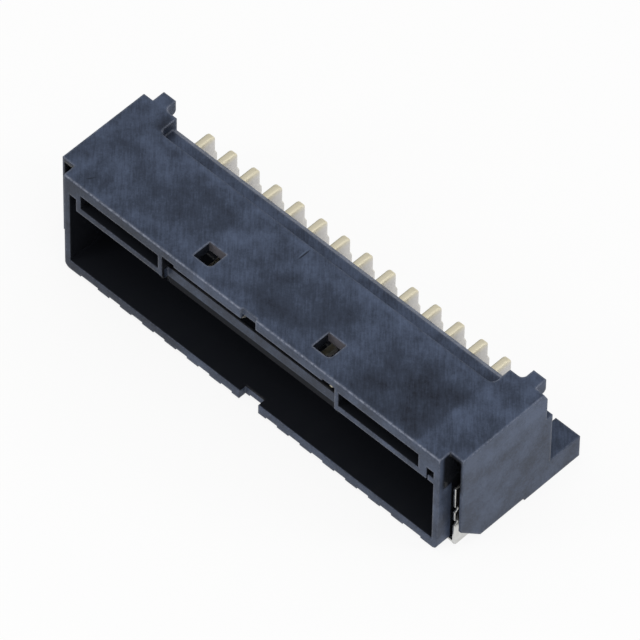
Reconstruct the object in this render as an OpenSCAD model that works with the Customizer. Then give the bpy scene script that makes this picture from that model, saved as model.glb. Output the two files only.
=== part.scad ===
// Right-angle wire-to-board socket for surface mounting: one moulded housing,
// a row of blanked contacts pushed in from behind, and a solder nail at each end.
// The board is the plane z = 0, the mouth faces -Y and the row of contacts runs along X.

/* [Contact row] */
// Number of contacts in the row
ways = 14; // [10:1:20]
// Distance from one contact to the next
pitch = 2; // [1.8:0.1:3]
// Thickness of the strip that the contacts are blanked from
contact_t = 0.5; // [0.3:0.05:0.7]
// Clearance on each side of a contact in its slot
contact_gap = 0.03; // [0.02:0.01:0.06]

/* [Mouth] */
// From the middle of an outermost contact to the mouth's side wall
mouth_end = 3; // [2.6:0.1:4]
// Height of the mouth, floor to roof
mouth_h = 7.35; // [6.8:0.05:9]
// Depth of the mouth, rim to back wall
mouth_depth = 6.6; // [6:0.1:9]
// Thickness of the mouth's side walls
side_t = 0.45; // [0.35:0.05:0.8]
// Thickness of the mouth's floor
floor_t = 0.8; // [0.6:0.05:1.2]
// Thickness of the roof
roof_t = 0.9; // [0.8:0.05:1.3]
// Thickness of the back wall that holds the contacts
back_t = 1.75; // [1.4:0.05:3]
// Gap between the board and the housing's underside
stand_off = 0.25; // [0.25:0.05:0.5]
// Radius of the lower outer corners of the mouth
corner_r = 0.45; // [0.2:0.05:0.6]
// Radius of the roof's front edge
rim_r = 0.15; // [0.05:0.05:0.3]
// Width of the notch in the middle of the floor's front edge
floor_notch_w = 1.7; // [0.8:0.1:2.4]
// Depth of that notch
floor_notch_d = 0.6; // [0.3:0.1:1.2]
// Width of the rib under each contact
rib_w = 1; // [0.6:0.1:1.4]
// Depth of the grooves between the ribs
groove_d = 0.15; // [0.1:0.05:0.3]
// Width of the flat pad beyond the outermost groove, inside the side wall
end_pad = 0.95; // [0.5:0.05:1.5]

/* [Key pockets] */
// Inside width of each pocket under the roof
pocket_w = 6.95; // [5.5:0.05:7.5]
// Inside height of each pocket
pocket_h = 1.35; // [0.9:0.05:1.6]
// Thickness of a pocket's floor
pocket_floor = 0.45; // [0.3:0.05:0.7]
// Thickness of a pocket's wall towards the middle
pocket_wall = 0.3; // [0.25:0.05:0.5]
// Thickness of the left pocket's outer wall
key_wall_left = 0.36; // [0.25:0.01:0.7]
// Thickness of the right pocket's outer wall
key_wall_right = 0.68; // [0.3:0.01:0.9]
// Width of the key gap between a pocket and the mouth's side wall
key_gap = 0.64; // [0.4:0.02:0.8]
// Extra thickness of the roof above a key gap
key_web = 0.65; // [0.3:0.05:0.9]
// Slit left beside the ledge that half closes the right key gap
key_slit = 0.14; // [0.1:0.02:0.25]

/* [Lock bar] */
// From the rim to the bar between the two pockets
bar_set = 0.6; // [0.4:0.05:0.8]
// Depth of the bar's top, front to back
bar_top = 0.2; // [0.15:0.01:0.3]
// Depth of the bar's foot, front to back
bar_foot = 0.7; // [0.5:0.05:1]
// Height of the bar's upright front
bar_h = 0.92; // [0.75:0.01:1.1]
// Height of the lead-in below the upright front
lead_h = 1.02; // [0.6:0.01:1.1]
// How far the lead-in leans back
lead_l = 0.28; // [0.05:0.01:0.3]
// How far the gusset at each end of the bar leans back from the rim
gusset_l = 0.2; // [0.1:0.05:0.4]
// Width of the guide groove in the roof above each end of the bar
guide_w = 1.1; // [0.6:0.05:1.3]
// Depth of the guide grooves
guide_d = 0.2; // [0.1:0.01:0.35]

/* [Roof] */
// From the middle of an outermost contact to the middle of a window
window_in = 7.78; // [7:0.02:8]
// Width of each window in the roof
window_w = 1.5; // [1:0.05:1.7]
// Length of each window, front to back
window_l = 1.52; // [1:0.02:1.8]
// From the rim to a window
window_set = 1.05; // [0.8:0.05:1.6]
// Radius of a window's right front corner
window_r = 0.35; // [0.1:0.05:0.5]
// Width of the gate recess in the middle of the roof's front edge
gate_w = 1.3; // [0.8:0.1:2]
// How far the gate recess lies to the left of the middle
gate_shift = 0.1; // [0:0.05:0.4]
// Depth of the gate recess in the roof's front face
gate_d = 0.19; // [0.1:0.01:0.35]
// Height of the roof's front edge that is left above the gate's cut
gate_lip = 0.58; // [0.4:0.02:0.7]
// Depth of that cut, front to back
gate_cut = 0.5; // [0.3:0.05:0.8]

/* [Rear ledge] */
// From the middle of an outermost contact to the end of the ledge
ledge_end = 1.6; // [1:0.05:1.9]
// Width of the ledge, front to back
ledge_w = 1.6; // [1:0.05:2.2]
// How far the ledge lies below the top
ledge_drop = 0.8; // [0.5:0.05:1]
// Width of the slope along the ledge's back edge
lip_w = 0.45; // [0.2:0.05:0.6]
// Height of that slope
lip_h = 0.35; // [0.2:0.05:0.5]
// Radius of the ledge's front corners, seen from above
ledge_corner = 0.5; // [0.2:0.05:0.8]

/* [Ends] */
// From the rim to the front of an end
ear_set = 1; // [0.6:0.05:2]
// Width of the open slot between the mouth and an end's outer plate
slot_w = 0.9; // [0.6:0.05:1.2]
// Thickness of the outer plate
ear_t = 0.2; // [0.15:0.05:0.7]
// Thickness of the roof above the slot
slot_roof = 0.4; // [0.3:0.05:1]
// Depth of the open slot, front to back
slot_depth = 1.4; // [0.8:0.1:2]
// Height of the slope at the front foot of the outer plate
toe_h = 1.85; // [1:0.05:3]
// Length of that slope
toe_l = 1.85; // [0.8:0.05:2.4]
// How far the back of an end stands behind the back wall
ear_step = 0.3; // [0.15:0.05:0.6]
// Height of the slope at its top back edge
ear_slope = 0.6; // [0.3:0.05:1]
// Height of the heel, which stands further back
heel_h = 6.63; // [5:0.01:7]
// How far the heel stands behind the end above it
heel_step = 0.55; // [0.3:0.05:1]
// Width of the heel and of the flange behind it
flange_w = 2.1; // [1.9:0.05:2.4]
// How far the flange reaches behind the heel
flange_l = 2.75; // [2:0.05:4]
// Height of the flange
flange_h = 1.95; // [1.2:0.05:3]
// Length of the pad that stands on the board
pad_l = 5.05; // [3:0.05:6]

/* [Tabs] */
// Width of the tab at the top of each end
tab_w = 1.08; // [0.7:0.02:1.3]
// From the heel's inner side to the tab
tab_in = 0.22; // [0.1:0.02:0.4]
// How far the tab reaches behind the back wall
tab_l = 1; // [0.6:0.05:1.5]
// Height of the tab
tab_h = 1.15; // [0.8:0.05:1.6]
// Radius of the tab's lower back edge
tab_r = 0.3; // [0.1:0.05:0.5]
// Radius in the corner at the tab's inner side
tab_fillet = 0.38; // [0.2:0.02:0.5]

/* [Contacts] */
// From the mouth's floor to the middle of the pins
pin_up = 3.6; // [3:0.05:4]
// Height of a pin
pin_h = 0.5; // [0.3:0.05:0.8]
// From the rim to the tips of the pins
pin_set = 2.25; // [1.2:0.05:3]
// Length of the bevelled tip
tip_l = 0.4; // [0.2:0.05:0.8]
// Depth of the bevels at the tip
tip_bevel = 0.13; // [0.05:0.01:0.14]
// Thickness of the back wall in front of the blades
seat_t = 0.5; // [0.3:0.05:0.8]
// How far a blade reaches below its pin
blade_under = 0.4; // [0.2:0.05:0.8]
// Wall left between a blade and the ledge's sloped edge
blade_cover = 0.35; // [0.2:0.01:0.5]
// How far a tail stands out behind the back wall
tail_out = 1.65; // [1.4:0.05:2.2]
// Radius of the tail's top corner
tail_r = 0.4; // [0.2:0.05:0.6]
// From the tail's top down to the shoulder on its back edge
shoulder_z = 1.5; // [0.8:0.05:1.8]
// How far the tail stands out below the shoulder
shoulder = 0.2; // [0.1:0.02:0.4]
// Height of the shoulder's slope
shoulder_h = 0.45; // [0.1:0.05:0.6]
// Width of the leg down to the board
leg_w = 1.1; // [0.8:0.05:1.4]
// Radius in the corners of the leg
leg_r = 0.35; // [0.2:0.05:0.6]
// Length of the foot behind the leg
foot_l = 1.4; // [0.8:0.05:1.7]
// Height of the foot
foot_h = 0.5; // [0.3:0.05:0.8]
// Radius of the foot's toe
toe_r = 0.25; // [0.1:0.05:0.3]

/* [Solder nails] */
// Thickness of the sheet
nail_t = 0.2; // [0.15:0.01:0.22]
// Clearance on each side of a nail in its slot
nail_gap = 0.03; // [0.02:0.01:0.06]
// From the mouth's outer side to the middle of a nail
nail_in = 0.38; // [0.3:0.01:0.45]
// From the front of an end to the nail's front edge
nail_set = 0.1; // [0.05:0.05:0.4]
// Length of the nail's plate
nail_l = 4.3; // [3:0.1:5.5]
// Height of the nail above the board
nail_h = 5.8; // [4.5:0.1:7]
// Width of the nail's foot, under the housing
nail_foot_w = 1.3; // [0.8:0.05:1.8]
// Length of the nail's foot
nail_foot_l = 3.3; // [2:0.1:4]
// From the plate's front edge to the foot
nail_foot_set = 0.18; // [0.1:0.02:0.5]
// Radius of the two nicks in the plate's front edge
nick_r = 0.27; // [0.15:0.01:0.35]
// Height of the upper nick above the board
nick_high = 3.7; // [3.2:0.1:4.2]
// Height of the lower nick above the board
nick_low = 2.35; // [1.6:0.05:2.5]

/* [Hidden] */
$fn = 48;
// How far a cutting tool runs past the face that it opens
cut = 0.2;
row_half = (ways - 1) * pitch / 2;
mouth_half = row_half + mouth_end;
frame_half = mouth_half + side_t;
half_l = frame_half + slot_w + ear_t;
heel_x = half_l - flange_w;
z_floor = stand_off + floor_t;
z_roof = z_floor + mouth_h;
z_top = z_roof + roof_t;
y_seat = mouth_depth + seat_t;
y_back = mouth_depth + back_t;
y_ear = y_back + ear_step;
y_heel = y_ear + heel_step;
y_flange = y_heel + flange_l;
y_pad = y_flange - pad_l;
latch_left = mouth_half - key_gap - key_wall_left - pocket_w - pocket_wall;
latch_right = mouth_half - key_gap - key_wall_right - pocket_w - pocket_wall;
z_bar = z_roof - pocket_h;
window_x = row_half - window_in;
pin_z = z_floor + pin_up;
blade_low = pin_z - pin_h / 2 - blade_under;
blade_top = z_top - ledge_drop - lip_h - blade_cover;
leg_back = y_back + tail_out + shoulder;
leg_front = leg_back - leg_w;
foot_end = leg_back + foot_l;
nail_x = frame_half + nail_in;
nail_out = nail_x + nail_t / 2;
nail_front = ear_set + nail_set;
nail_back = nail_front + nail_l;
plastic = [0.15, 0.17, 0.21];
brass = [0.76, 0.68, 0.45];
tin = [0.82, 0.83, 0.84];

function terminal_name(i) = str("terminal_", i < 10 ? "0" : "", i);
function contact_x(i) = (i - (ways + 1) / 2) * pitch;

// Puts the middle of the footprint over the origin
module centred() {
    translate([0, -y_flange / 2, 0]) children();
}

// Draws an outline in Y and Z as a solid from x0 to x1
module along_x(x0, x1) {
    translate([x0, 0, 0]) rotate([90, 0, 90]) linear_extrude(x1 - x0) children();
}

// Draws an outline in X and Z as a solid from y0 to y1
module along_y(y0, y1) {
    translate([0, y1, 0]) rotate([90, 0, 0]) linear_extrude(y1 - y0) children();
}

// Draws an outline in X and Y as a solid from z0 to z1
module along_z(z0, z1) {
    translate([0, 0, z0]) linear_extrude(z1 - z0) children();
}

module on_both_ends() {
    children();
    mirror([1, 0, 0]) children();
}

// A rectangle from one corner to the opposite one
module span(from, to) {
    translate(from) square(to - from);
}

// What an arc leaves of a corner at the origin, to take off an edge or to fill an inner corner
module corner(r) {
    difference() {
        translate([-cut, -cut]) square(r + cut);
        translate([r, r]) circle(r);
    }
}

// The mouth's outside from the front: rounded below, with a rib under each contact
module frame_outline() {
    difference() {
        span([-frame_half, stand_off], [frame_half, z_top]);
        translate([-frame_half, stand_off]) corner(corner_r);
        translate([frame_half, stand_off]) rotate(90) corner(corner_r);
        difference() {
            span([end_pad - mouth_half, stand_off - cut], [mouth_half - end_pad, stand_off + groove_d]);
            for (i = [1:ways])
                span([contact_x(i) - rib_w / 2, 0], [contact_x(i) + rib_w / 2, z_floor]);
        }
    }
}

// One pocket's walls from the front, on the right-hand side
module pocket_walls(outer_wall) {
    outer = mouth_half - key_gap;
    inner = outer - outer_wall - pocket_w;
    difference() {
        span([inner - pocket_wall, z_bar - pocket_floor], [outer, z_top]);
        span([inner, z_bar], [outer - outer_wall, z_roof]);
    }
    span([outer - outer_wall / 2, z_roof - key_web], [frame_half, z_top]);
}

// The mouth's inside from the front: what the walls, webs and ledge leave free
module mouth_outline() {
    difference() {
        union() {
            span([-mouth_half, z_floor], [mouth_half, z_roof]);
            span([-latch_left, z_bar], [guide_w - latch_left, z_roof + guide_d]);
            span([latch_right - guide_w, z_bar], [latch_right, z_roof + guide_d]);
        }
        pocket_walls(key_wall_right);
        mirror([1, 0]) pocket_walls(key_wall_left);
        span([mouth_half - key_gap + key_slit, z_bar - pocket_floor], [frame_half, z_bar]);
    }
}

// An end from the side: sloped toe, sloped top back edge, heel and flange
module end_outline() {
    polygon([
        [ear_set, stand_off + toe_h],
        [ear_set, z_top],
        [y_back, z_top],
        [y_ear, z_top - ear_slope],
        [y_ear, heel_h],
        [y_heel, heel_h],
        [y_heel, flange_h],
        [y_flange, flange_h],
        [y_flange, 0],
        [y_pad, 0],
        [y_pad, stand_off],
        [ear_set + toe_l, stand_off],
    ]);
}

// The tab at the top of the right-hand end, with its root rounded into the wall beside it
module tab() {
    x0 = heel_x + tab_in;
    intersection() {
        along_z(z_top - tab_h, z_top) {
            span([x0, y_back - cut], [x0 + tab_w, y_back + tab_l]);
            translate([x0, y_back]) rotate(90) corner(tab_fillet);
        }
        along_x(x0 - flange_w, half_l) difference() {
            span([y_back - 2 * cut, z_top - 2 * tab_h], [y_back + tab_l, z_top]);
            translate([y_back + tab_l, z_top - tab_h]) rotate(90) corner(tab_r);
        }
    }
}

// The slot of the right-hand end: open in front and below, narrow behind to grip the nail
module nail_slot() {
    grip = nail_t / 2 + nail_gap;
    along_z(-cut, z_top - slot_roof)
        span([frame_half, ear_set - cut], [frame_half + slot_w, ear_set + slot_depth]);
    along_z(-cut, nail_h + nail_gap)
        span([nail_x - grip, ear_set], [nail_x + grip, nail_back + nail_gap]);
}

// A window through the roof, with its left front corner at the origin
module window() {
    along_z(z_roof - cut, z_top + cut) difference() {
        span([0, 0], [window_w, window_l]);
        translate([window_w, 0]) rotate(90) corner(window_r);
    }
}

// The rear ledge, cut down from the top and sloped off at the back
module ledge() {
    x1 = row_half + ledge_end;
    along_z(z_top - ledge_drop, z_top + cut) difference() {
        span([-x1, y_back - ledge_w], [x1, y_back + cut]);
        translate([-x1, y_back - ledge_w]) corner(ledge_corner);
        translate([x1, y_back - ledge_w]) rotate(90) corner(ledge_corner);
    }
    along_x(-x1, x1) translate([y_back, z_top - ledge_drop])
        polygon([[-lip_w, 0], [0, -lip_h], [cut, -lip_h], [cut, cut], [-lip_w, cut]]);
}

// The gate's recess in the roof's front face, and the cut below it
module gate() {
    x0 = -gate_shift - gate_w / 2;
    along_z(z_roof - cut, z_top + cut) span([x0, -cut], [x0 + gate_w, gate_d]);
    along_z(z_roof - cut, z_top - gate_lip) span([x0, -cut], [x0 + gate_w, gate_cut]);
}

// The hole for a pin and the slot for its blade, from the side
module contact_slot() {
    pin = pin_h / 2 + contact_gap;
    span([mouth_depth - cut, pin_z - pin], [y_back, pin_z + pin]);
    span([y_seat - contact_gap, blade_low - contact_gap], [y_back + cut, blade_top + contact_gap]);
}

// The bar from the side: thin on top for the latch to hook over, with a lead-in below its upright front
module bar_outline() {
    knee = z_bar - bar_h;
    low = knee - lead_h;
    polygon([
        [bar_set, z_bar],
        [bar_set + bar_top, z_bar],
        [bar_set + bar_foot, knee],
        [bar_set + bar_foot, low],
        [bar_set + lead_l, low],
        [bar_set, knee],
    ]);
}

// A gusset from the side: it carries an end of the bar under the pocket beside it
module gusset_outline() {
    polygon([
        [0, z_bar],
        [0, z_bar - pocket_floor],
        [gusset_l, z_bar - bar_h],
        [bar_set + bar_foot, z_bar - bar_h],
        [bar_set + bar_foot, z_bar],
    ]);
}

// The bar across the mouth between the pockets, with a gusset at each end
module lock_bar() {
    left = -latch_left - pocket_wall;
    right = latch_right + pocket_wall;
    along_x(left, right) bar_outline();
    along_x(left, -latch_left) gusset_outline();
    along_x(latch_right, right) gusset_outline();
}

module housing() {
    slot_half = contact_t / 2 + contact_gap;
    color(plastic) centred() {
        difference() {
            union() {
                along_y(0, y_back) frame_outline();
                on_both_ends() along_x(heel_x, half_l) end_outline();
                on_both_ends() tab();
            }
            along_y(-cut, mouth_depth) mouth_outline();
            along_x(-half_l, half_l) translate([0, z_top]) rotate(-90) corner(rim_r);
            along_z(-cut, z_floor + cut)
                span([-floor_notch_w / 2, -cut], [floor_notch_w / 2, floor_notch_d]);
            for (side = [-1, 1])
                translate([side * window_x - window_w / 2, window_set, 0]) window();
            for (i = [1:ways])
                along_x(contact_x(i) - slot_half, contact_x(i) + slot_half) contact_slot();
            ledge();
            gate();
            on_both_ends() nail_slot();
        }
        lock_bar();
    }
}

// A contact from the side: pin, blade in the back wall, tail, leg and foot
module contact_outline() {
    tail_back = y_back + tail_out;
    pin_top = pin_z + pin_h / 2;
    pin_low = pin_z - pin_h / 2;
    difference() {
        polygon([
            [pin_set, pin_top - tip_bevel],
            [pin_set + tip_l, pin_top],
            [y_seat, pin_top],
            [y_seat, blade_top],
            [tail_back, blade_top],
            [tail_back, blade_top - shoulder_z],
            [leg_back, blade_top - shoulder_z - shoulder_h],
            [leg_back, foot_h + leg_r],
            [leg_back + leg_r, foot_h],
            [foot_end, foot_h],
            [foot_end, 0],
            [leg_front, 0],
            [leg_front, blade_low - leg_r],
            [leg_front - leg_r, blade_low],
            [y_seat, blade_low],
            [y_seat, pin_low],
            [pin_set + tip_l, pin_low],
            [pin_set, pin_low + tip_bevel],
        ]);
        translate([leg_back + leg_r, foot_h + leg_r]) circle(leg_r);
        translate([leg_front - leg_r, blade_low - leg_r]) circle(leg_r);
        translate([tail_back, blade_top]) rotate(180) corner(tail_r);
        translate([leg_front, 0]) corner(leg_r);
        translate([foot_end, foot_h]) rotate(180) corner(toe_r);
    }
}

// A contact from above: its bevelled tip, then the full strip
module contact_plan() {
    polygon([
        [tip_bevel - contact_t / 2, pin_set],
        [contact_t / 2 - tip_bevel, pin_set],
        [contact_t / 2, pin_set + tip_l],
        [contact_t / 2, foot_end + cut],
        [-contact_t / 2, foot_end + cut],
        [-contact_t / 2, pin_set + tip_l],
    ]);
}

module terminal(i) {
    color(brass) centred() translate([contact_x(i), 0, 0]) intersection() {
        along_x(-contact_t / 2, contact_t / 2) contact_outline();
        along_z(-cut, blade_top + cut) contact_plan();
    }
}

// The right-hand nail: a plate in the slot, nicked in front, and a foot bent in under the housing
module solder_nail() {
    foot_front = nail_front + nail_foot_set;
    color(tin) centred() {
        along_x(nail_out - nail_t, nail_out) difference() {
            span([nail_front, stand_off], [nail_back, nail_h]);
            for (z = [nick_low, nick_high])
                translate([nail_front, z]) circle(nick_r);
        }
        along_y(foot_front, foot_front + nail_foot_l) difference() {
            union() {
                span([nail_out - nail_t, 0], [nail_out, 2 * stand_off]);
                span([nail_out - nail_foot_w, 0], [nail_out, nail_t]);
            }
            translate([nail_out, 0]) rotate(90) corner(nail_t);
        }
    }
}

housing();
for (i = [1:ways])
    terminal(i);
mirror([1, 0, 0]) solder_nail();  // solder_nail_left
solder_nail();  // solder_nail_right
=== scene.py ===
import math
import bpy
from mathutils import Matrix, Vector


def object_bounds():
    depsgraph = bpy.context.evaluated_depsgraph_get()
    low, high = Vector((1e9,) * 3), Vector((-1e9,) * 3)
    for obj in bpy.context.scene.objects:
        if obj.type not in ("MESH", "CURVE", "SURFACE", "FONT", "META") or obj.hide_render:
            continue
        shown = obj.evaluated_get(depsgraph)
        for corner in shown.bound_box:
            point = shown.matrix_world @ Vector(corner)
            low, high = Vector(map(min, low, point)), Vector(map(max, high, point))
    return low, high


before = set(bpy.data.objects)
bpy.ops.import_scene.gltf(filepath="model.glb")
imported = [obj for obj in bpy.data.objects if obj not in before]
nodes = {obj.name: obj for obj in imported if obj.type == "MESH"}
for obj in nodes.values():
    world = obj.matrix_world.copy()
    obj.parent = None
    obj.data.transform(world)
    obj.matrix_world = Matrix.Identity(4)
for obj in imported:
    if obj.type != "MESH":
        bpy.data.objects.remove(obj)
cadLow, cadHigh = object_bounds()  # the CAD model's own box
terminals = sorted(name for name in nodes if name.startswith("terminal"))
nails = sorted(name for name in nodes if name.startswith("solder_nail"))
mm = 0.001
print("frame loaded:", len(nodes), "nodes,", len(terminals), "of them terminals")


# sRGB hex to the linear colour that the shaders work in
def linearColour(code):
    parts = [int(code[i:i + 2], 16) / 255 for i in (1, 3, 5)]
    return [p / 12.92 if p <= 0.04045 else ((p + 0.055) / 1.055) ** 2.4 for p in parts] + [1.0]


# texture scale at which a pattern's features come out at this many millimetres
def featureScale(sizeMm):
    return 1 / (sizeMm * mm)


# adds one node: settings go to its sockets or properties, links join other nodes' outputs to its sockets
def addNode(tree, kind, settings=None, links=None):
    made = tree.nodes.new(kind)
    for key, value in (settings or {}).items():
        if isinstance(key, str) and hasattr(made, key):
            setattr(made, key, value)
        else:
            made.inputs[key].default_value = value
    for key, source in (links or {}).items():
        tree.links.new(source, made.inputs[key])
    return made


# the sockets of a Mix node share their names, so they go by number
mixShare, firstValue, secondValue, firstColour, secondColour = 0, 2, 3, 6, 7
mixedColour = 2


def newMaterial(name):
    material = bpy.data.materials.new(name)
    material.use_nodes = True
    tree = material.node_tree
    return material, tree, tree.nodes["Principled BSDF"]


def setMaterial(piece, material):
    piece.data.materials.clear()
    piece.data.materials.append(material)


# what counts as one point, one flat face and a sharp edge on the metal pieces
edgeSettings = {
    "weldMm": 0.001,
    "flatDegrees": 0.5,
    "sharpDegrees": 30,
}


# rounds a metal piece's cut edges, after the triangles of each flat face are merged into one
def breakEdges(piece, widthMm, segments):
    weld = piece.modifiers.new("weld", "WELD")
    weld.merge_threshold = edgeSettings["weldMm"] * mm
    flat = piece.modifiers.new("flatFaces", "DECIMATE")
    flat.decimate_type = "DISSOLVE"
    flat.angle_limit = math.radians(edgeSettings["flatDegrees"])
    edge = piece.modifiers.new("edgeRadius", "BEVEL")
    edge.width = widthMm * mm
    edge.segments = segments
    edge.limit_method = "ANGLE"
    edge.angle_limit = math.radians(edgeSettings["sharpDegrees"])
    edge.use_clamp_overlap = False
    piece.modifiers.new("evenNormals", "WEIGHTED_NORMAL")


# the camera stands where the photograph was taken from: in front, to the right and well above
cameraSettings = {
    "azimuth": 43.21,
    "elevation": 51.12,
    "roll": 1.04,
    "lensMm": 504.5,
    "sensorMm": 36,
    "distanceMm": 566.9,
    "aimMm": (1.17, -0.74, 5.30),
}


def placeCamera(settings):
    azimuth, elevation, roll = (math.radians(settings[k]) for k in ("azimuth", "elevation", "roll"))
    back = Vector((
        math.sin(azimuth) * math.cos(elevation),
        -math.cos(azimuth) * math.cos(elevation),
        math.sin(elevation),
    ))
    level = Vector((math.cos(azimuth), math.sin(azimuth), 0))
    upright = back.cross(level)
    right = level * math.cos(roll) + upright * math.sin(roll)
    up = upright * math.cos(roll) - level * math.sin(roll)
    data = bpy.data.cameras.new("productCamera")
    data.sensor_width = settings["sensorMm"]
    data.lens = settings["lensMm"]
    camera = bpy.data.objects.new("productCamera", data)
    turn = Matrix((right, up, back)).transposed().to_4x4()
    eye = Vector(settings["aimMm"]) * mm + back * settings["distanceMm"] * mm
    camera.matrix_world = Matrix.Translation(eye) @ turn
    bpy.context.scene.collection.objects.link(camera)
    bpy.context.scene.camera = camera


placeCamera(cameraSettings)
print("camera placed")

# glass-filled LCP, injection moulded: the tool's spark-eroded faces leave a dark slate skin with fine flow
# lines and paler haze, with darker and paler patches added; the polished core leaves the mouth and slots
# glossy, and their almost black colour is painted shade
housingSettings = {
    "deep": "#20242e",
    "slate": "#373f4f",
    "haze": "#505b71",
    # near-black colour of the hollows: painted shade
    "shadedCore": "#1c1e23",
    "windowBackLight": "#66646a",  # the back walls of the windows, paler: painted reflected light of the floor
    # pale edges: partly wear, partly painted highlight
    "wearAndHighlight": "#8e94a4",
    # painted shade in a fine groove
    "groove": "#15171d",
    # painted highlight on a groove's edge
    "grooveHighlight": "#5a667a",
    "ior": 1.55,
    "specular": 0.1,
    "skinRoughness": 0.4,
    "coreRoughness": 0.2,
    "leadRoughness": 0.9,
    "cloudMm": 1.8,
    "lineLongMm": 1.1,
    "lineWideMm": 0.12,  # the real flow lines are finer; drawn as wide as they need to show
    "flowDegrees": 133,
    "grainMm": 0.13,  # the real grain is near 0.03 mm; drawn coarser so that it shows
    "grainDepthMm": 0.006,
    "grainShare": 0.4,  # how much of the fine pattern is grain, the rest being flow lines
    "cloudShare": 0.55,  # how much of the whole pattern is clouds
    "mottleSpan": (0.34, 0.66),  # the pattern's values at the darkest and the palest tone
    "mottleTones": (0.3, 1.0),
    "slateAt": 0.5,  # the tone at which the skin is plain slate
    "wearAndHighlightMm": 0.24,  # how far an edge's pale wear and painted highlight reach on each side of it
    "wearAndHighlightSamples": 6,
    "wearAndHighlightSpan": (0.995, 0.75),  # the largest part of the rounded normal, beside an edge and on it
    "speckMm": 0.2,
    "speckSpan": (0.36, 0.64),
    "speckLeast": 0.35,
    # the boxes from here on are measured from the middle, the rim and the board
    "roofEdgesMm": ((-18, -0.2, 8.9), (18, 9.5, 9.5)),
    "wearAndHighlightElsewhere": 0.5,  # the share of the roof edges' pale wear and painted highlight that the other edges have
    "calmMm": ((-14.5, 6.4, 9.0), (14.5, 6.95, 9.5)),  # the back edge of the roof, where the pale edge is drawn weaker
    "calmWearAndHighlight": 0.25,
    "softMm": 0.03,  # how sharply one finish gives way to the other
    # boxes of the hollows that are painted dark as shade
    "mouthMm": ((-16.1, 0.06, 0.95), (16.1, 6.67, 8.43)),
    "slotMm": ((16.3, 1.2, -0.1), (17.38, 2.45, 8.93)),
    # the upper slot under the ear's roof, painted dark as shade with a soft edge
    "slotTopMm": ((16.2, 0.38, 6.0), (17.45, 2.45, 9.2)),
    "slotTopSoftMm": 0.2,
    # the lock bar keeps the skin, painted darker as shade under the roof
    "barMm": ((-7.8, 0.3, 6.13), (7.48, 0.75, 7.02)),
    "barShade": 0.2,
    "leadMm": ((-7.8, 0.4, 5.0), (7.48, 1.2, 6.13)),  # the lead-in under the bar, painted dark with the hollows' shade but matt
    # the window holes, painted most of the way to the shade colour
    "windowMm": ((-6.2, 0.9, 8.42), (6.2, 2.5, 9.22)),
    "windowDark": 0.9,
    "windowBackMm": ((-6.2, 2.5, 8.42), (6.2, 2.7, 9.25)),
    "markInner": 0.5,  # the share of a mark's reach that has its full colour
}

# darker and paler patches in the skin, measured from the middle, the rim and the board: their sides, how
# softly each side ends, and how dark they are; the first six make the roof darker and paler in places, the
# others are painted light and shade
tonePatchesAndPaintedLight = [
    {"xMm": (-12.2, -6.2), "xSoftMm": (1.6, 0.5), "yMm": (1.0, 5.5), "ySoftMm": (1.0, 0.5), "dark": 0.15},
    {"xMm": (-1.6, 5.0), "xSoftMm": (2.0, 1.2), "yMm": (1.0, 5.2), "ySoftMm": (1.0, 0.9), "dark": 0.22},
    {"xMm": (8.2, 14.3), "xSoftMm": (3.0, 0.3), "yMm": (0.2, 5.2), "ySoftMm": (0.4, 0.8), "dark": 0.36},
    {"xMm": (-5.8, -4.2), "xSoftMm": (0.4, 0.8), "yMm": (3.3, 5.4), "ySoftMm": (0.8, 0.5), "dark": -0.16},
    {"xMm": (-0.8, 1.2), "xSoftMm": (0.6, 0.6), "yMm": (4.9, 6.2), "ySoftMm": (0.5, 0.4), "dark": -0.14},
    {"xMm": (6.3, 8.0), "xSoftMm": (0.8, 0.8), "yMm": (4.2, 6.2), "ySoftMm": (0.8, 0.4), "dark": -0.12},
    # painted highlight along the roof's back edge
    {"xMm": (-14.0, 14.4), "xSoftMm": (0.5, 0.5), "yMm": (6.3, 6.8), "ySoftMm": (0.15, 0.05), "dark": -0.12},
    # painted shade on the left part of the front face
    {"xMm": (-17.7, -7.0), "xSoftMm": (0.1, 2.0), "yMm": (-0.3, 0.1), "ySoftMm": (0.1, 0.06), "dark": 0.34},
    # painted shade in the corner at the root of the left tab
    {"xMm": (-15.2, -14.2), "xSoftMm": (0.3, 0.3), "yMm": (6.9, 8.1), "ySoftMm": (0.2, 0.2), "dark": 0.35},
    # painted light: the right end face made paler towards its top
    {"xMm": (17.45, 18.0), "xSoftMm": (0.05, 0.05), "zMm": (6.5, 10.0), "zSoftMm": (2.5, 0.1), "dark": -0.2},
]

# marks in the skin of the roof, each a short stroke: middle and size seen from above, direction and
# strength; the dark strokes paint the shade in fine grooves, the pale one paints a groove's lit edge
roofMarks = [
    {"colour": "groove", "middleMm": (-1.0, 6.0), "sizeMm": (1.3, 0.13), "degrees": 90, "strength": 0.8},
    {"colour": "grooveHighlight", "middleMm": (-1.12, 6.0), "sizeMm": (1.3, 0.1), "degrees": 90, "strength": 0.6},
    {"colour": "groove", "middleMm": (-15.0, 1.0), "sizeMm": (0.8, 0.12), "degrees": 57, "strength": 0.6},
]
zeros = (0, cadLow.y, 0)  # where the measures along each axis start


# 1 only where every one of these masks is 1
def overlap(tree, masks):
    shared = masks[0]
    for mask in masks[1:]:
        shared = addNode(tree, "ShaderNodeMath", {"operation": "MULTIPLY"}, {0: shared, 1: mask}).outputs[0]
    return shared


# 1 where the value lies between the two limits, falling off over the soft width of each, all in millimetres
def between(tree, value, limits, softs, zero):
    steps = []
    for limit, soft, way in zip(limits, softs, (1, -1)):
        step = addNode(
            tree, "ShaderNodeMapRange",
            {
                "interpolation_type": "SMOOTHSTEP",
                "From Min": zero + (limit - way * soft) * mm,
                "From Max": zero + (limit + way * soft) * mm,
            },
            {"Value": value},
        )
        steps.append(step.outputs["Result"])
    return overlap(tree, steps)


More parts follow.
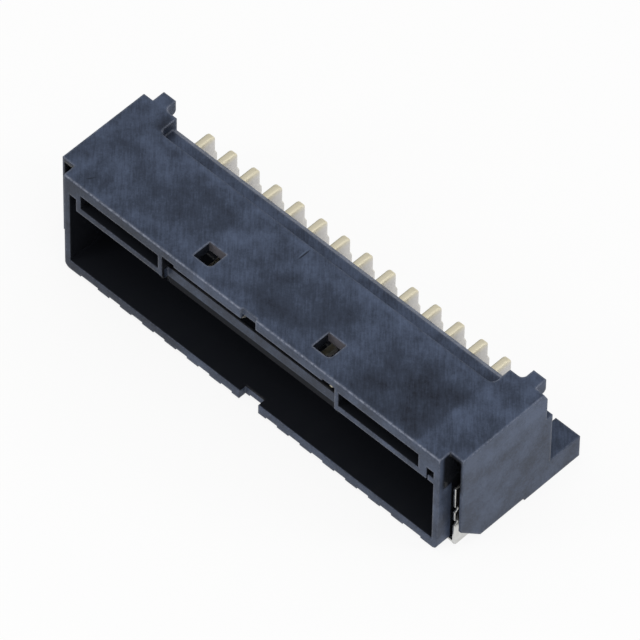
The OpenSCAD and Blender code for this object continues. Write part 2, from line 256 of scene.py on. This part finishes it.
# 1 inside a box given by two corners in millimetres
def insideBox(tree, axes, corners, soft):
    spans = []
    for axis, low, high, zero in zip(axes, corners[0], corners[1], zeros):
        spans.append(between(tree, axis, (low, high), (soft, soft), zero))
    return overlap(tree, spans)


# 1 in the middle of a mark on the roof, 0 outside it
def markStroke(tree, place, mark, inner):
    turned = addNode(
        tree, "ShaderNodeMapping",
        {
            "vector_type": "TEXTURE",
            "Location": (mark["middleMm"][0] * mm, cadLow.y + mark["middleMm"][1] * mm, cadHigh.z),
            "Rotation": (0, 0, math.radians(mark["degrees"])),
            "Scale": (mark["sizeMm"][0] * mm / 2, mark["sizeMm"][1] * mm / 2, mm),
        },
        {"Vector": place},
    )
    reach = addNode(tree, "ShaderNodeVectorMath", {"operation": "LENGTH"}, {0: turned.outputs["Vector"]})
    return addNode(
        tree, "ShaderNodeMapRange",
        {"interpolation_type": "SMOOTHSTEP", "From Min": 1.0, "From Max": inner},
        {"Value": reach.outputs["Value"]},
    ).outputs["Result"]


def mouldedLcp(settings):
    material, tree, shader = newMaterial("glassFilledLcpMoulded")
    place = addNode(tree, "ShaderNodeTexCoord").outputs["Object"]
    split = addNode(tree, "ShaderNodeSeparateXYZ", {}, {"Vector": place})
    axes = [split.outputs[k] for k in "XYZ"]
    outward = addNode(tree, "ShaderNodeMath", {"operation": "ABSOLUTE"}, {0: axes[0]}).outputs[0]
    bothEnds = [outward] + axes[1:]

    # where the polished core shaped the plastic: the mouth, end slots and windows, but not the lock bar;
    # these hollows are painted dark as shade
    soft = settings["softMm"]
    mouth = insideBox(tree, axes, settings["mouthMm"], soft)
    slot = insideBox(tree, bothEnds, settings["slotMm"], soft)
    slotTop = insideBox(tree, bothEnds, settings["slotTopMm"], settings["slotTopSoftMm"])
    window = addNode(
        tree, "ShaderNodeMath", {"operation": "MULTIPLY", 1: settings["windowDark"]},
        {0: insideBox(tree, axes, settings["windowMm"], soft)},
    ).outputs[0]
    bar = insideBox(tree, axes, settings["barMm"], soft)
    lead = insideBox(tree, axes, settings["leadMm"], soft)
    windowBack = insideBox(tree, axes, settings["windowBackMm"], soft)
    hollow = mouth
    for more in (slot, slotTop, window):
        hollow = addNode(tree, "ShaderNodeMath", {"operation": "MAXIMUM"}, {0: hollow, 1: more}).outputs[0]
    shadedCore = addNode(
        tree, "ShaderNodeMath", {"operation": "SUBTRACT", "use_clamp": True}, {0: hollow, 1: bar},
    ).outputs[0]

    # flow lines, clouds and grain, then painted shade on the lock bar and the patches, some of them painted
    # light and shade: together they set how dark the skin is
    long, wide = settings["lineLongMm"] * mm, settings["lineWideMm"] * mm
    along = addNode(
        tree, "ShaderNodeMapping",
        {
            "vector_type": "TEXTURE",
            "Rotation": (0, 0, math.radians(settings["flowDegrees"])),
            "Scale": (long, wide, wide),
        },
        {"Vector": place},
    )
    lines = addNode(
        tree, "ShaderNodeTexNoise", {"Scale": 1.0, "Detail": 2.0, "Roughness": 0.6},
        {"Vector": along.outputs["Vector"]},
    )
    cloud = addNode(
        tree, "ShaderNodeTexNoise",
        {"Scale": featureScale(settings["cloudMm"]), "Detail": 4.0, "Roughness": 0.6},
        {"Vector": place},
    )
    grain = addNode(
        tree, "ShaderNodeTexNoise",
        {"Scale": featureScale(settings["grainMm"]), "Detail": 2.0, "Roughness": 0.6},
        {"Vector": place},
    )
    fine = addNode(
        tree, "ShaderNodeMix", {mixShare: settings["grainShare"]},
        {firstValue: lines.outputs["Fac"], secondValue: grain.outputs["Fac"]},
    )
    mottle = addNode(
        tree, "ShaderNodeMix", {mixShare: settings["cloudShare"]},
        {firstValue: fine.outputs[0], secondValue: cloud.outputs["Fac"]},
    )
    tone = addNode(
        tree, "ShaderNodeMapRange",
        {
            "From Min": settings["mottleSpan"][0],
            "From Max": settings["mottleSpan"][1],
            "To Min": settings["mottleTones"][0],
            "To Max": settings["mottleTones"][1],
        },
        {"Value": mottle.outputs[0]},
    ).outputs["Result"]
    darkened = [(bar, settings["barShade"])]
    for pool in tonePatchesAndPaintedLight:
        spans = [
            between(tree, axis, pool[letter + "Mm"], pool[letter + "SoftMm"], zero)
            for axis, letter, zero in zip(axes, "xyz", zeros) if letter + "Mm" in pool
        ]
        darkened.append((overlap(tree, spans), pool["dark"]))
    for inside, amount in darkened:
        dark = addNode(tree, "ShaderNodeMath", {"operation": "MULTIPLY", 1: amount}, {0: inside})
        tone = addNode(
            tree, "ShaderNodeMath", {"operation": "SUBTRACT", "use_clamp": True},
            {0: tone, 1: dark.outputs[0]},
        ).outputs[0]
    skin = addNode(tree, "ShaderNodeValToRGB", {}, {"Fac": tone})
    skin.color_ramp.elements[0].color = linearColour(settings["deep"])
    skin.color_ramp.elements[1].color = linearColour(settings["haze"])
    middle = skin.color_ramp.elements.new(settings["slateAt"])
    middle.color = linearColour(settings["slate"])

    # edges turn pale in specks, partly wear and partly painted highlight: they are found where the rounded
    # normal lies between the three directions
    rounded = addNode(
        tree, "ShaderNodeBevel", {"samples": settings["wearAndHighlightSamples"], "Radius": settings["wearAndHighlightMm"] * mm},
    ).outputs["Normal"]
    size = addNode(tree, "ShaderNodeVectorMath", {"operation": "ABSOLUTE"}, {0: rounded})
    parts = addNode(tree, "ShaderNodeSeparateXYZ", {}, {"Vector": size.outputs["Vector"]})
    most = parts.outputs["X"]
    for part in (parts.outputs["Y"], parts.outputs["Z"]):
        most = addNode(tree, "ShaderNodeMath", {"operation": "MAXIMUM"}, {0: most, 1: part}).outputs[0]
    edge = addNode(
        tree, "ShaderNodeMapRange",
        {"From Min": settings["wearAndHighlightSpan"][0], "From Max": settings["wearAndHighlightSpan"][1]},
        {"Value": most},
    )
    fleck = addNode(
        tree, "ShaderNodeTexNoise", {"Scale": featureScale(settings["speckMm"]), "Detail": 2.0},
        {"Vector": place},
    )
    speck = addNode(
        tree, "ShaderNodeMapRange",
        {
            "From Min": settings["speckSpan"][0],
            "From Max": settings["speckSpan"][1],
            "To Min": settings["speckLeast"],
            "To Max": 1.0,
        },
        {"Value": fleck.outputs["Fac"]},
    )
    calm = addNode(
        tree, "ShaderNodeMapRange", {"To Min": 1.0, "To Max": settings["calmWearAndHighlight"]},
        {"Value": insideBox(tree, axes, settings["calmMm"], soft)},
    )
    onRoofEdges = addNode(
        tree, "ShaderNodeMapRange", {"To Min": settings["wearAndHighlightElsewhere"], "To Max": 1.0},
        {"Value": insideBox(tree, axes, settings["roofEdgesMm"], soft)},
    )
    rubbedAndHighlit = overlap(tree, [mask.outputs["Result"] for mask in (edge, speck, calm, onRoofEdges)])
    wearAndHighlight = addNode(
        tree, "ShaderNodeMix", {"data_type": "RGBA", secondColour: linearColour(settings["wearAndHighlight"])},
        {mixShare: rubbedAndHighlit, firstColour: skin.outputs["Color"]},
    )
    # the windows' back walls take a paler colour: painted reflected light
    colour = addNode(
        tree, "ShaderNodeMix", {"data_type": "RGBA", secondColour: linearColour(settings["windowBackLight"])},
        {mixShare: windowBack, firstColour: wearAndHighlight.outputs[mixedColour]},
    ).outputs[mixedColour]
    for mark in roofMarks:
        stroke = addNode(
            tree, "ShaderNodeMath", {"operation": "MULTIPLY", 1: mark["strength"]},
            {0: markStroke(tree, place, mark, settings["markInner"])},
        )
        colour = addNode(
            tree, "ShaderNodeMix",
            {"data_type": "RGBA", secondColour: linearColour(settings[mark["colour"]])},
            {mixShare: stroke.outputs[0], firstColour: colour},
        ).outputs[mixedColour]
    # the hollows take the near-black colour: painted shade
    finish = addNode(
        tree, "ShaderNodeMix", {"data_type": "RGBA", secondColour: linearColour(settings["shadedCore"])},
        {mixShare: shadedCore, firstColour: colour},
    )
    tree.links.new(finish.outputs[mixedColour], shader.inputs["Base Color"])

    polish = addNode(
        tree, "ShaderNodeMix",
        {firstValue: settings["skinRoughness"], secondValue: settings["coreRoughness"]},
        {mixShare: shadedCore},
    )
    gloss = addNode(
        tree, "ShaderNodeMix", {secondValue: settings["leadRoughness"]},
        {mixShare: lead, firstValue: polish.outputs[0]},
    )
    tree.links.new(gloss.outputs[0], shader.inputs["Roughness"])
    depth = addNode(
        tree, "ShaderNodeMapRange", {"To Min": settings["grainDepthMm"] * mm, "To Max": 0.0},
        {"Value": shadedCore},
    )
    relief = addNode(
        tree, "ShaderNodeBump", {"Strength": 1.0},
        {"Height": grain.outputs["Fac"], "Distance": depth.outputs["Result"], "Normal": rounded},
    )
    tree.links.new(relief.outputs["Normal"], shader.inputs["Normal"])
    shader.inputs["IOR"].default_value = settings["ior"]
    shader.inputs["Specular IOR Level"].default_value = settings["specular"]
    return material


setMaterial(nodes["housing"], mouldedLcp(housingSettings))
print("housing finished")

# tin-plated brass, blanked: the strip's rolled faces keep their pale tin, the cut edges show yellow metal
# that fades over the rounded edge, with a darker rim where the punch broke out
terminalSettings = {
    "tin": "#dedcd9",
    "brass": "#e8e1ca",
    "rim": "#a8a595",
    "roughness": 0.6,
    "roughnessSpread": 0.12,
    "fadeMm": (7.75, 7.2),  # the yellow of the top fades down the sides between these heights
    "pitchMm": 2.0,
    "rimAtMm": -0.2,
    "rimSoftMm": 0.05,
    "grainMm": 0.25,
    "edgeMm": 0.09,
    "edgeSegments": 3,
    "roundMm": 0.24,  # how far the fading of a cut edge reaches on each side of it
    "roundSamples": 6,
    "flatSpan": (0.35, 0.95),  # how far a face looks sideways where its tin begins, and where it is whole
}


def blankedBrass(settings):
    material, tree, shader = newMaterial("tinPlatedBrassBlanked")
    coords = addNode(tree, "ShaderNodeTexCoord")
    rounded = addNode(
        tree, "ShaderNodeBevel", {"samples": settings["roundSamples"], "Radius": settings["roundMm"] * mm},
    ).outputs["Normal"]
    tree.links.new(rounded, shader.inputs["Normal"])
    facing = addNode(tree, "ShaderNodeSeparateXYZ", {}, {"Vector": rounded})
    side = addNode(tree, "ShaderNodeMath", {"operation": "ABSOLUTE"}, {0: facing.outputs["X"]})
    flat = addNode(
        tree, "ShaderNodeMapRange",
        {"From Min": settings["flatSpan"][0], "From Max": settings["flatSpan"][1]},
        {"Value": side.outputs[0]},
    )
    place = addNode(tree, "ShaderNodeSeparateXYZ", {}, {"Vector": coords.outputs["Object"]})
    below = addNode(
        tree, "ShaderNodeMapRange",
        {"From Min": settings["fadeMm"][0] * mm, "From Max": settings["fadeMm"][1] * mm},
        {"Value": place.outputs["Z"]},
    )
    rolled = overlap(tree, [flat.outputs["Result"], below.outputs["Result"]])
    # place across the strip's own thickness, the same on every contact of the row
    pitch = settings["pitchMm"] * mm
    across = addNode(
        tree, "ShaderNodeMath", {"operation": "FLOORED_MODULO", 1: pitch}, {0: place.outputs["X"]},
    )
    rimAt = pitch / 2 + settings["rimAtMm"] * mm
    soft = settings["rimSoftMm"] * mm
    torn = addNode(
        tree, "ShaderNodeMapRange", {"From Min": rimAt + soft, "From Max": rimAt - soft},
        {"Value": across.outputs[0]},
    )
    cut = addNode(
        tree, "ShaderNodeMix",
        {
            "data_type": "RGBA",
            firstColour: linearColour(settings["brass"]),
            secondColour: linearColour(settings["rim"]),
        },
        {mixShare: torn.outputs["Result"]},
    )
    colour = addNode(
        tree, "ShaderNodeMix", {"data_type": "RGBA", secondColour: linearColour(settings["tin"])},
        {mixShare: rolled, firstColour: cut.outputs[mixedColour]},
    )
    tree.links.new(colour.outputs[mixedColour], shader.inputs["Base Color"])
    cloud = addNode(
        tree, "ShaderNodeTexNoise", {"Scale": featureScale(settings["grainMm"]), "Detail": 3.0},
        {"Vector": coords.outputs["Object"]},
    )
    dull = addNode(
        tree, "ShaderNodeMapRange",
        {
            "To Min": settings["roughness"] - settings["roughnessSpread"],
            "To Max": settings["roughness"] + settings["roughnessSpread"],
        },
        {"Value": cloud.outputs["Fac"]},
    )
    tree.links.new(dull.outputs["Result"], shader.inputs["Roughness"])
    shader.inputs["Metallic"].default_value = 1.0
    return material


terminalMetal = blankedBrass(terminalSettings)
for name in terminals:
    breakEdges(nodes[name], terminalSettings["edgeMm"], terminalSettings["edgeSegments"])
    setMaterial(nodes[name], terminalMetal)
print("terminals finished")

# bright tin plate on bent brass sheet: a soft, slightly wavy mirror, clouded where the tin flowed
nailSettings = {
    "tin": "#dedfdf",
    "cloud": "#b9b8b3",
    "roughness": 0.34,
    "waveMm": 0.5,
    "waveDepthMm": 0.01,
    "edgeMm": 0.04,
    "edgeSegments": 2,
}


def brightTin(settings):
    material, tree, shader = newMaterial("brightTinPlatedSheet")
    place = addNode(tree, "ShaderNodeTexCoord").outputs["Object"]
    wave = addNode(
        tree, "ShaderNodeTexNoise", {"Scale": featureScale(settings["waveMm"]), "Detail": 2.0},
        {"Vector": place},
    )
    colour = addNode(
        tree, "ShaderNodeMix",
        {
            "data_type": "RGBA",
            firstColour: linearColour(settings["cloud"]),
            secondColour: linearColour(settings["tin"]),
        },
        {mixShare: wave.outputs["Fac"]},
    )
    tree.links.new(colour.outputs[mixedColour], shader.inputs["Base Color"])
    relief = addNode(
        tree, "ShaderNodeBump", {"Strength": 1.0, "Distance": settings["waveDepthMm"] * mm},
        {"Height": wave.outputs["Fac"]},
    )
    tree.links.new(relief.outputs["Normal"], shader.inputs["Normal"])
    shader.inputs["Metallic"].default_value = 1.0
    shader.inputs["Roughness"].default_value = settings["roughness"]
    return material


nailMetal = brightTin(nailSettings)
for name in nails:
    breakEdges(nodes[name], nailSettings["edgeMm"], nailSettings["edgeSegments"])
    setMaterial(nodes[name], nailMetal)
print("solder nails finished")

# a plain white floor under soft studio light: one box above, and two small ones that draw the bright edges
studioSettings = {
    "floorColour": "#f6f6f5",
    "floorRoughness": 0.9,
    "floorSizeMm": 6000,
    "floorGapMm": 0.02,
    "white": "#ffffff",
    "glow": 0.88,  # how far the floor's own white outweighs its shading for the eye
    "sky": 0.6,
}
lampSettings = [
    {"name": "topSoftbox", "placeMm": (80, -60, 300), "sizeMm": (220, 220), "watts": 0.25},
    {"name": "frontSoftbox", "placeMm": (-138, -250, 147), "sizeMm": (90, 90), "watts": 0.16},
    {"name": "rightSoftbox", "placeMm": (249, 146, 138), "sizeMm": (90, 90), "watts": 0.16},
]


def buildStudio(settings):
    white = linearColour(settings["white"])
    world = bpy.data.worlds.new("studioWorld")
    bpy.context.scene.world = world
    world.use_nodes = True
    sky = world.node_tree.nodes["Background"]
    sky.inputs["Color"].default_value = white
    sky.inputs["Strength"].default_value = settings["sky"]

    half = settings["floorSizeMm"] * mm / 2
    level = cadLow.z - settings["floorGapMm"] * mm
    corners = [(-half, -half, level), (half, -half, level), (half, half, level), (-half, half, level)]
    mesh = bpy.data.meshes.new("floor")
    mesh.from_pydata(corners, [], [(0, 1, 2, 3)])
    floor = bpy.data.objects.new("floor", mesh)
    bpy.context.scene.collection.objects.link(floor)

    # matt white paint: the camera, mirrors and glass see it almost pure white, with the shadow still on it
    material, tree, shader = newMaterial("paintedFloor")
    shader.inputs["Base Color"].default_value = linearColour(settings["floorColour"])
    shader.inputs["Roughness"].default_value = settings["floorRoughness"]
    shader.inputs["Specular IOR Level"].default_value = 0.0
    path = addNode(tree, "ShaderNodeLightPath")
    eye = path.outputs["Is Camera Ray"]
    for ray in ("Is Glossy Ray", "Is Transmission Ray"):
        eye = addNode(
            tree, "ShaderNodeMath", {"operation": "MAXIMUM"}, {0: eye, 1: path.outputs[ray]},
        ).outputs[0]
    share = addNode(tree, "ShaderNodeMath", {"operation": "MULTIPLY", 1: settings["glow"]}, {0: eye})
    light = addNode(tree, "ShaderNodeEmission", {"Color": white, "Strength": 1.0})
    seen = addNode(
        tree, "ShaderNodeMixShader", {},
        {0: share.outputs[0], 1: shader.outputs[0], 2: light.outputs[0]},
    )
    tree.links.new(seen.outputs[0], tree.nodes["Material Output"].inputs["Surface"])
    setMaterial(floor, material)

    for lamp in lampSettings:
        data = bpy.data.lights.new(lamp["name"], "AREA")
        data.shape = "RECTANGLE"
        data.size, data.size_y = (s * mm for s in lamp["sizeMm"])
        data.energy = lamp["watts"]
        piece = bpy.data.objects.new(lamp["name"], data)
        piece.location = Vector(lamp["placeMm"]) * mm
        piece.rotation_mode = "QUATERNION"
        piece.rotation_quaternion = (-piece.location).to_track_quat("-Z", "Y")
        bpy.context.scene.collection.objects.link(piece)


buildStudio(studioSettings)
bpy.context.scene.view_settings.view_transform = "Standard"
print("studio lit")
